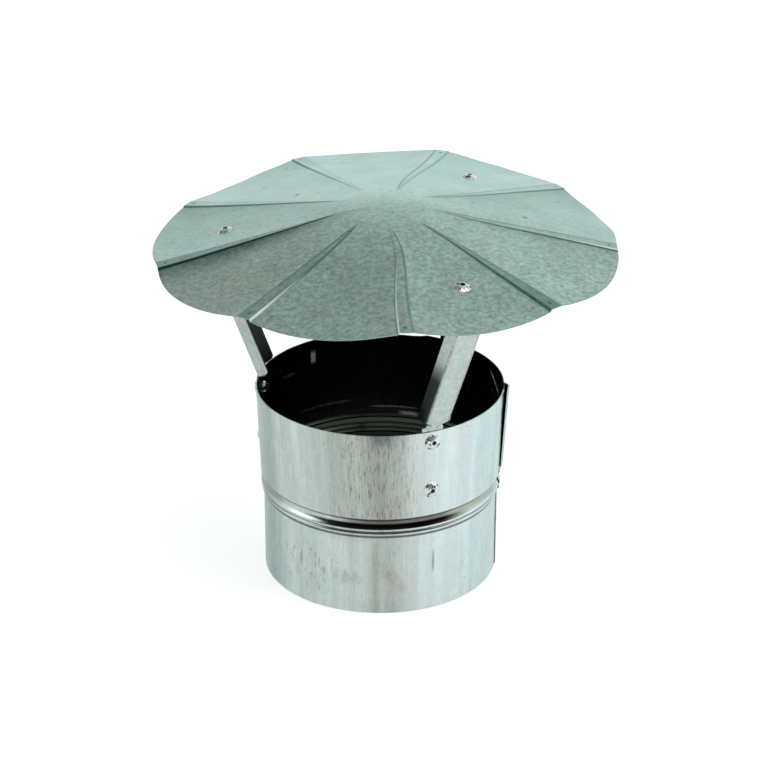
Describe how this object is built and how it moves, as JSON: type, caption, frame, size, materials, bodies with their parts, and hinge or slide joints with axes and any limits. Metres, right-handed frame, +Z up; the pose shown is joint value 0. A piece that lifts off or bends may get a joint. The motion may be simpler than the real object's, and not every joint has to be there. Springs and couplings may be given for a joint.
{
  "type": "chimney cap",
  "caption": "Chimney cap: a shallow pleated round hood held on riveted channel legs above a beaded cylindrical collar with a plain spigot",
  "frame": {"origin": "Centre of the circle of the collar's bottom edge, on the axis of the spigot", "axes": "+Z is up along the flue's axis, from the spigot to the hood; +X points to the collar's folded seam, less five degrees; -Y is the side with one leg, right of centre, seen in the picture"},
  "size_m": [0.2194, 0.2193, 0.1868],
  "materials": {
    "hood_sheet": "galvanised sheet, dull grey-green, mottled, a few rust specks",
    "collar_sheet": "galvanised sheet, satin, faint upright streaks and a brown run mark",
    "leg_strip": "galvanised strip, satin",
    "rivet_body": "plain aluminium",
    "rivet_stem": "dull steel with a broken end"
  },
  "bodies": {
    "root": {"hood": "hood_sheet", "collar": "collar_sheet", "leg_1": "leg_strip", "leg_2": "leg_strip", "leg_3": "leg_strip", "hood_rivet_1": "rivet_body", "hood_rivet_2": "rivet_body", "hood_rivet_3": "rivet_body", "foot_rivet_upper_1": "rivet_body", "foot_rivet_upper_2": "rivet_body", "foot_rivet_upper_3": "rivet_body", "foot_rivet_lower_1": "rivet_body", "foot_rivet_lower_2": "rivet_body", "foot_rivet_lower_3": "rivet_body", "hood_rivet_stem_1": "rivet_stem", "hood_rivet_stem_2": "rivet_stem", "hood_rivet_stem_3": "rivet_stem", "foot_rivet_upper_stem_1": "rivet_stem", "foot_rivet_upper_stem_2": "rivet_stem", "foot_rivet_upper_stem_3": "rivet_stem", "foot_rivet_lower_stem_1": "rivet_stem", "foot_rivet_lower_stem_2": "rivet_stem", "foot_rivet_lower_stem_3": "rivet_stem"}
  },
  "joints": []
}
